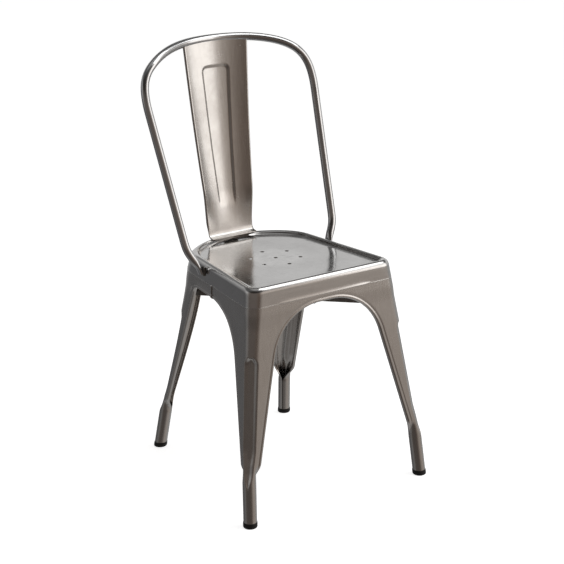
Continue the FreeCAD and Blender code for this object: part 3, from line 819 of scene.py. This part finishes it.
def leg_inset(z):
    """Leg sheet flush below the skirt, joggled in behind it."""
    if z > SKIRT_Z:
        return LEG_INSET
    return LEG_INSET - JOGGLE * smooth((z - JOGGLE_FROM_Z) / JOGGLE_RUN)


def opening_share(z):
    """0 on the round tube, rising to 1 where the channel has its full section."""
    return smooth((z - KNEE_Z + 0.006) / (FLARE + 0.006))


def tube_centre(end, z):
    """Middle of a leg's foot tube at height z, and of its corner channel above the knee."""
    foot, knee = (FRONT_FOOT, FRONT_KNEE) if end == "front" else (REAR_FOOT, REAR_KNEE)
    if z <= KNEE_Z:
        return foot + (knee - foot) * (z / KNEE_Z)
    return front_corner(z) if end == "front" else rear_line(z)


def flute_push(distance, z):
    """Depth of the pressed flute at a distance round from the corner's middle."""
    top = FLUTE_TOP_Z - z
    foot = z - FLUTE_FOOT_Z
    if top <= 0 or foot <= 0:
        return 0.0
    half = FLUTE_HALF * min(1.0, 0.5 + 0.5 * foot / FLUTE_WIDEN) * smooth(foot / FLUTE_TIP) ** 0.5
    if top < FLUTE_HALF:
        half *= math.sqrt(max(0.0, 1 - ((FLUTE_HALF - top) / FLUTE_HALF) ** 2))
    wall = min(FLUTE_WALL, half)
    if wall <= 0 or abs(distance) >= half:
        return 0.0
    depth = FLUTE_DEPTH * min(1.0, half / FLUTE_HALF + 0.1)
    return depth * smooth((half - abs(distance)) / wall)


def leg_row(end, z):
    """Points of one level section through a leg, outside of the sheet."""
    level = max(z, KNEE_Z)
    centre, radius, *limits = corner_turns(end, level)
    radius -= leg_inset(z)
    middle = sum(limits) / 2
    hub = tube_centre(end, z) + Vector((0, 0, z))
    turns = []
    points = []
    for column in range(LEG_COLUMNS + 1):
        if ARM_END <= column <= CORNER_END:
            share = (column - ARM_END) / LEG_CORNER_STEPS
            turn = limits[0] + (limits[1] - limits[0]) * share
            points.append(centre + heading(turn) * radius + Vector((0, 0, level)))
            turns.append(turn)
            continue
        arm = 0 if column < ARM_END else 1
        beyond = ARM_END - column if arm == 0 else column - CORNER_END
        face, arch, axis, mid = LEG_SIDES[end][arm]
        share = min(1.0, beyond / LEG_ARM_STEPS)
        edge = free_edge(arch, sunk(arch, level, 1), LIP)[0]
        corner = (centre + heading(limits[arm]) * radius)[axis]
        place = corner + (edge - corner) * share
        if beyond > LEG_ARM_STEPS:
            place = edge + (mid - edge) * (beyond - LEG_ARM_STEPS) / LEG_APRON_STEPS
        points.append(face(place, sunk(arch, level, share), leg_inset(level))[0])
        open_turn = middle + (OPEN_TURN if arm else -OPEN_TURN)
        turns.append(limits[arm] + (open_turn - limits[arm]) * share)
    distances = [0.0]
    for before, point in zip(points, points[1:]):
        distances.append(distances[-1] + (point - before).length)
    corner_middle = distances[(ARM_END + CORNER_END) // 2]
    share = opening_share(z)
    placed = []
    for point, turn, distance in zip(points, turns, distances):
        pressed = hub + heading(turn) * TUBE_R
        opened = Vector((point.x, point.y, z + point.z - level))
        pressed = pressed + (opened - pressed) * share
        placed.append(pressed - heading(middle) * flute_push(distance - corner_middle, z))
    return placed


def lip_point(end, arm, place, z, step):
    """Point of the beaded lip beside a point on the arch, or of the tube's seam below it."""
    face, arch = LEG_SIDES[end][arm][:2]
    level = max(z, KNEE_Z)
    low, high = corner_turns(end, level)[2:]
    middle = (low + high) / 2
    side = -1 if arm == 0 else 1
    toward, depth = LIP_PROFILE[step]
    into = (0.0, -1.0) if z >= arch[4] + LIP - 1e-6 else free_edge(arch, level, LIP)[1]
    point, inward = face(place + into[0] * toward, level + into[1] * toward, leg_inset(level))
    point = point + inward * depth
    lift = z - level
    share = opening_share(z)
    turn = middle + side * (OPEN_TURN + (SEAM_TURN - OPEN_TURN) * (step + 1) / len(LIP_PROFILE))
    closed = tube_centre(end, z) + heading(turn) * TUBE_R + Vector((0, 0, z))
    return closed + (point + Vector((0, 0, lift)) - closed) * share


def make_leg(end):
    """Right-hand leg sheet: corner channel, apron halves, beaded arch lips and foot tube."""
    rows = [leg_row(end, z) for z in LEG_Z]
    mesh, marks = sheet_grid(LEG_COLUMNS, len(LEG_Z) - 1, lambda column, row: rows[row][column])
    spare = [point for point, (column, row) in marks.items() if row < CROWN_ROW
             and (column < LEG_APRON_STEPS or column > SIDE_END)]
    bordering = {}
    for point, (column, row) in marks.items():
        on_edge = column in (LEG_APRON_STEPS, SIDE_END) and row <= CROWN_ROW
        on_crown = row == CROWN_ROW and (column < LEG_APRON_STEPS or column > SIDE_END)
        if on_edge or on_crown:
            arm = 0 if column <= LEG_APRON_STEPS else 1
            arch, axis = LEG_SIDES[end][arm][1:3]
            z = sunk(arch, LEG_Z[row], 1)
            if on_crown:
                place = point.co[axis]
            else:
                place = free_edge(arch, max(z, KNEE_Z), LIP)[0]
            bordering[point] = (arm, place, z)
    bmesh.ops.delete(mesh, geom=spare, context="VERTS")
    edges = border_edges(mesh, bordering)
    for step in range(len(LIP_PROFILE)):
        edges, bordering = extrude_on(mesh, edges, bordering,
                                      lambda mark: lip_point(end, *mark, step))
    turn_outwards(mesh, Vector((0, 0, 0.3)))
    return mesh


def add_legs(finishes):
    for end in ("front", "rear"):
        add_pair(end + "_%s_leg", "_sheet", make_leg(end), finishes["leg"], SHEET)


CAP_PROFILE = ((0.0105, 0.0), (0.0122, 0.0003), (0.0133, 0.0012), (0.01375, 0.0026),
               (0.01375, 0.0060), (0.01375, 0.0094), (0.01362, 0.0104), (0.0134, 0.0108),
               (0.01315, 0.0109), (0.01302, 0.0104), (0.01302, 0.0060), (0.01302, 0.0042))
CAP_STEPS = 48


def add_foot_caps(finishes):
    """Four rubber caps, each turned from one profile along the leg's own lean."""
    for end in ("front", "rear"):
        def place(ring, index):
            radius, z = CAP_PROFILE[ring]
            turn = 2 * math.pi * index / CAP_STEPS
            return tube_centre(end, z) + heading(turn) * radius + Vector((0, 0, z))
        mesh = capped_sweep(CAP_STEPS, len(CAP_PROFILE), place)
        turn_outwards(mesh, tube_centre(end, CAP_HEIGHT / 2) + Vector((0, 0, 0.001)))
        add_pair(end + "_%s_foot_cap", "_rubber", mesh, finishes["rubber"])


# ---------------------------------------------------------------- seat
def seat_profile():
    """(height, inset, hem) from the skirt's edge over the rolled rim down to the pan."""
    profile = [(SKIRT_Z + 0.0010, 0.0013, 0.0), (SKIRT_Z + 0.0001, 0.0010, 0.4),
               (SKIRT_Z - 0.0002, 0.0004, 1.0), (SKIRT_Z + 0.0003, 0.0001, 1.0),
               (SKIRT_Z + 0.0010, 0.0, 1.0), (SKIRT_Z + 0.0020, 0.0, 0.8),
               (SKIRT_Z + 0.0032, 0.0, 0.3), (SKIRT_Z + 0.0046, 0.0, 0.0)]
    low = profile[-1][0]
    wall_top = SEAT_Z - RIM_RISE
    for step in range(1, 5):
        profile.append((low + (wall_top - low) * step / 4, 0.0, 0.0))
    for step in range(1, 13):
        turn = math.radians(90) * step / 12
        profile.append((wall_top + RIM_RISE * math.sin(turn), RIM_OUT * (1 - math.cos(turn)), 0.0))
    for step in range(1, 9):
        turn = RIM_TURN * step / 8
        profile.append((PAN_Z + RIM_R * math.cos(turn), RIM_OUT + RIM_IN * math.sin(turn), 0.0))
    z, inset, _ = profile[-1]
    lean = math.atan2(RIM_R * math.sin(RIM_TURN), RIM_IN * math.cos(RIM_TURN))
    fillet = (z - PAN_Z) / (1 - math.cos(lean))
    for step in range(1, 9):
        turn = lean * (1 - step / 8)
        profile.append((PAN_Z + fillet * (1 - math.cos(turn)),
                        inset + fillet * (math.sin(lean) - math.sin(turn)), 0.0))
    return profile


def make_seat():
    """Seat pressing: skirt, rolled rim and shallow pan with its drain holes."""
    profile = seat_profile()
    count = 2 * sum(PLAN_STEPS)
    pan_inset = profile[-1][1]
    hub = Vector((0, SEAT_FRONT_Y + HOLE_CENTRE_BACK, PAN_Z))

    def place(ring, index):
        if ring < len(profile):
            z, inset, hem = profile[ring]
            point = ring_point(index, min(z, SEAT_Z), inset)
            across_front = smooth((HEM_HALF - abs(point.x)) / HEM_EASE) if point.y < -0.1 else 0.0
            return Vector((point.x, point.y - HEM * hem * across_front, z))
        share = (ring - len(profile) + 1) / PAN_RINGS
        outer = ring_point(index, PAN_Z, pan_inset)
        way = outer - hub
        inner = hub + Vector((way.x, way.y, 0)).normalized() * PAN_DISC_R
        flat = outer + (inner - outer) * share
        return Vector((flat.x, flat.y, PAN_Z - PAN_DISH * smooth(share)))

    mesh, _, last = swept_rings(count, len(profile) + PAN_RINGS, place)
    floor_z = PAN_Z - PAN_DISH
    rims = list(last)
    spots = [hub] + [hub + heading(math.radians(60 * i)) * HOLE_PITCH for i in range(6)]
    for spot in spots:
        made = bmesh.ops.create_circle(mesh, segments=32, radius=HOLE_R)["verts"]
        for point in made:
            point.co = Vector((point.co.x + spot.x, point.co.y + spot.y, floor_z))
        rims += list({edge for point in made for edge in point.link_edges})
    bmesh.ops.triangle_fill(mesh, use_beauty=True, use_dissolve=False, edges=rims,
                            normal=(0, 0, 1))
    bmesh.ops.recalc_face_normals(mesh, faces=mesh.faces)
    high = max(mesh.faces, key=lambda face: face.calc_center_median().z)
    if high.normal.z < 0:
        bmesh.ops.reverse_faces(mesh, faces=mesh.faces)
    return mesh


# ---------------------------------------------------------------- back
ROOT_STEPS = 30
UPRIGHT_STEPS = 60
SHOULDER_STEPS = 240
HOOP_COLUMNS = 28
HOOP_ROWS = 150             # half of the hoop, after its points are spread evenly


def hoop_depth(x, z):
    """Depth of the hoop's centre line: a straight lean, bowed backwards across the top."""
    low = SEAT_Z + HOOP_LOW_RISE
    start = SEAT_FRONT_Y + HOOP_ROOT_BACK + HOOP_LOW_BACK
    bow = max(0.0, 1 - (x / HOOP_BOW_HALF) ** 2) ** 1.5
    shoulder = OVERALL_Z - HOOP_R - HOOP_SHOULDER_DROP
    return start + HOOP_LEAN * (z - low) + HOOP_BOW * bow * smooth((z - shoulder) / HOOP_BOW_RISE)


def hoop_side():
    """Points of the right half of the hoop, from its root on the skirt to the top centre."""
    low = SEAT_Z + HOOP_LOW_RISE
    top = OVERALL_Z - HOOP_R
    shoulder = top - HOOP_SHOULDER_DROP
    root_y = SEAT_FRONT_Y + HOOP_ROOT_BACK
    root = side_face(root_y, SEAT_Z - HOOP_ROOT_DROP, -HOOP_R * 0.62)[0]
    root_up = side_face(root_y + 0.003, SEAT_Z - HOOP_ROOT_DROP + 0.014, -HOOP_R * 0.8)[0]
    clear = Vector((HOOP_LOW_HALF, hoop_depth(HOOP_LOW_HALF, low), low))
    rise = Vector((HOOP_WIDE_HALF - HOOP_LOW_HALF, HOOP_LEAN * (shoulder - low), shoulder - low))
    rise = rise / rise.z
    points = []
    way = (root_up - root) / (root_up.z - root.z)
    span = clear.z - root.z
    for i in range(ROOT_STEPS):
        t = i / ROOT_STEPS
        points.append(root * (2 * t ** 3 - 3 * t ** 2 + 1) + way * span * (t ** 3 - 2 * t ** 2 + t)
                      + clear * (3 * t ** 2 - 2 * t ** 3) + rise * span * (t ** 3 - t ** 2))
    for i in range(UPRIGHT_STEPS):
        share = i / UPRIGHT_STEPS
        z = low + (shoulder - low) * share
        x = HOOP_LOW_HALF + (HOOP_WIDE_HALF - HOOP_LOW_HALF) * share
        points.append(Vector((x, hoop_depth(x, z), z)))
    power = 2 / HOOP_SHOULDER_POWER
    for i in range(SHOULDER_STEPS + 1):
        turn = math.pi / 2 * i / SHOULDER_STEPS
        x = HOOP_WIDE_HALF * max(0.0, math.cos(turn)) ** power
        z = shoulder + HOOP_SHOULDER_DROP * math.sin(turn) ** power
        points.append(Vector((x, hoop_depth(x, z), z)))
    points[-1].x = 0.0
    return points


def evenly(points, count):
    """Points at equal distances along a line."""
    lengths = [0.0]
    for a, b in zip(points, points[1:]):
        lengths.append(lengths[-1] + (b - a).length)
    made = []
    at = 0
    for i in range(count + 1):
        goal = lengths[-1] * i / count
        while at < len(lengths) - 2 and lengths[at + 1] < goal:
            at += 1
        step = lengths[at + 1] - lengths[at]
        share = 0.0 if step == 0 else (goal - lengths[at]) / step
        made.append(points[at] + (points[at + 1] - points[at]) * min(1.0, share))
    return made


def relaxed(points, rounds):
    """Line with its small kinks drawn out, ends held."""
    for _ in range(rounds):
        points = ([points[0]] + [(a + b * 2 + c) / 4 for a, b, c
                                 in zip(points, points[1:], points[2:])] + [points[-1]])
    return points


def hoop_line():
    """Centre line of the whole hoop, from its left root over the top to its right root."""
    half = relaxed(evenly(hoop_side(), HOOP_ROWS), 6)
    half[-1] = Vector((0, half[-1].y, OVERALL_Z - HOOP_R))
    left = [Vector((-p.x, p.y, p.z)) for p in half]
    return relaxed(left + half[-2::-1], 2)


def make_hoop():
    """Bent tube of the back, with ends flattened where they lie against the skirt."""
    line = hoop_line()
    last = len(line) - 1

    def place(ring, index):
        point = line[ring]
        ahead = line[min(last, ring + 1)] - line[max(0, ring - 1)]
        ahead.normalize()
        outward = Vector((point.x, 0, point.z - HOOP_MIDDLE_Z)).normalized()
        across = ahead.cross(outward).normalized()
        lift = across.cross(ahead).normalized()
        turn = 2 * math.pi * index / HOOP_COLUMNS
        from_end = min((point - line[0]).length, (point - line[-1]).length)
        flat = 1 - smooth((from_end - HOOP_FLAT_LENGTH) / HOOP_FLAT_RUN)
        thin = HOOP_R * (1 - HOOP_THINNER * flat)
        wide = HOOP_R * (1 + HOOP_WIDER * flat)
        return point + across * (math.sin(turn) * wide) + lift * (math.cos(turn) * thin)

    mesh = capped_sweep(HOOP_COLUMNS, last + 1, place)
    bmesh.ops.recalc_face_normals(mesh, faces=mesh.faces)
    return mesh


SPLAT_COLUMNS = 72
SPLAT_ROWS = 190


def splat_path():
    """Middle of the splat's front surface, from its lip on the rim up to the hoop."""
    lip_z = SEAT_Z + SHEET + 0.0001
    bend_y = SEAT_REAR_Y - RIM_R - SPLAT_SETBACK
    points = [Vector((0, bend_y - SPLAT_LIP * (1 - i / 6), lip_z)) for i in range(6)]
    for i in range(21):
        turn = math.radians(82) * i / 20
        points.append(Vector((0, bend_y + SPLAT_BEND_R * math.sin(turn),
                              lip_z + SPLAT_BEND_R * (1 - math.cos(turn)))))
    top_z = OVERALL_Z - HOOP_R
    start = points[-1]
    run = Vector((0, hoop_depth(0, top_z) - SPLAT_TOP_AHEAD, top_z)) - start
    square = Vector((0, -run.z, run.y)).normalized()
    for i in range(1, 101):
        share = i / 100
        points.append(start + run * share - square * (SPLAT_BOW * math.sin(math.pi * share)))
    return relaxed(evenly(points, SPLAT_ROWS), 4)


def panel_push(x, z):
    """Depth of the long pressed panel: an upright form with a round-cornered top."""
    share = (z - PANEL_FOOT_Z) / (PANEL_TOP_Z - PANEL_FOOT_Z)
    half = PANEL_FOOT_HALF + (PANEL_TOP_HALF - PANEL_FOOT_HALF) * min(1.0, max(0.0, share))
    across = abs(x) - half + PANEL_CORNER
    up = z - PANEL_TOP_Z + PANEL_CORNER
    if across > 0 and up > 0:
        beyond = math.hypot(across, up) - PANEL_CORNER
    else:
        beyond = max(across, up) - PANEL_CORNER
    return PANEL_DEPTH * smooth(-beyond / PANEL_WALL) * smooth(share / 0.12)


SPLAT_EDGE = ((0.0010, 0.0002), (0.0019, 0.0008), (0.0025, 0.0018), (0.0027, 0.0032),
              (0.0026, 0.0042))


def make_splat():
    """Tapered splat, hollow towards the sitter, with rolled edges and a long pressed panel."""
    path = splat_path()
    foot_z = SEAT_Z
    rise = path[-1].z - foot_z
    frames = []
    for row, point in enumerate(path):
        ahead = path[min(len(path) - 1, row + 1)] - path[max(0, row - 1)]
        ahead.normalize()
        normal = Vector((0, -ahead.z, ahead.y))
        share = max(0.0, (point.z - foot_z) / rise)
        half = SPLAT_FOOT_HALF + (SPLAT_TOP_HALF - SPLAT_FOOT_HALF) * share
        hollow = SPLAT_HOLLOW * smooth((share - 0.005) * HOLLOW_RATE)
        frames.append((point, normal, half, hollow))

    def surface(x, row):
        point, normal, half, hollow = frames[row]
        forward = hollow * (x / half) ** 2 - panel_push(x, point.z)
        place = point + normal * forward
        return Vector((x, place.y, place.z))

    def place(column, row):
        return surface((column / SPLAT_COLUMNS * 2 - 1) * (frames[row][2] - SPLAT_FOLD), row)

    mesh, marks = sheet_grid(SPLAT_COLUMNS, SPLAT_ROWS, place)
    border = {}
    for point, (column, row) in marks.items():
        if column in (0, SPLAT_COLUMNS):
            border[point] = (1 if column else -1, row)
    edges = border_edges(mesh, border)
    for step in range(len(SPLAT_EDGE)):
        def fold(mark):
            side, row = mark
            beside, behind = SPLAT_EDGE[step]
            point, normal, half, hollow = frames[row]
            edge = surface(side * (half - SPLAT_FOLD), row)
            turn_in = smooth((point.z - SEAT_Z - 0.004) / 0.03)
            slope = math.atan(2 * hollow / half)
            out = Vector((side * math.cos(slope), 0, 0)) + normal * math.sin(slope)
            back = Vector((side * math.sin(slope), 0, 0)) - normal * math.cos(slope)
            return edge + out * beside + back * behind * turn_in
        edges, border = extrude_on(mesh, edges, border, fold)
    bmesh.ops.recalc_face_normals(mesh, faces=mesh.faces)
    total = sum(face.normal.y * face.calc_area() for face in mesh.faces)
    if total > 0:
        bmesh.ops.reverse_faces(mesh, faces=mesh.faces)
    return mesh


# ---------------------------------------------------------------- assembly
def dress_frame(finishes):
    """Gives every carried-over solid its own finish."""
    for name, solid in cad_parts.items():
        if name.startswith("brace_bar"):
            finish = finishes["brace"]
        elif "weld" in name:
            finish = finishes["weld"]
        elif name.startswith("stacking_pad"):
            finish = finishes["plastic"]
        elif name.endswith("foot_cap"):
            finish = finishes["rubber"]
        elif name == "back_hoop":
            finish = finishes["tube"]
        else:
            finish = finishes["leg"]
        solid.data.materials.clear()
        solid.data.materials.append(finish)


add_camera()
add_floor()
add_surround()
bpy.context.scene.view_settings.view_transform = "Standard"
add_softbox("overhead_box", (0.9, -0.5, 2.2), (0.1, -0.1, 0.4), (1.3, 1.3), 14)
add_softbox("front_right_box", (1.20, -1.00, 1.12), (0, 0.15, 0.75), (1.0, 1.5), 6.3)

finishes = make_finishes()
dress_frame(finishes)
add_legs(finishes)
add_foot_caps(finishes)
add_piece("seat_pan_sheet", make_seat(), finishes["seat"], ["seat_pan"],
          wall=SHEET)
add_piece("back_hoop_tube", make_hoop(), finishes["tube"], ["back_hoop"])
add_piece("back_splat_sheet", make_splat(), finishes["splat"], ["back_splat"],
          wall=SHEET)
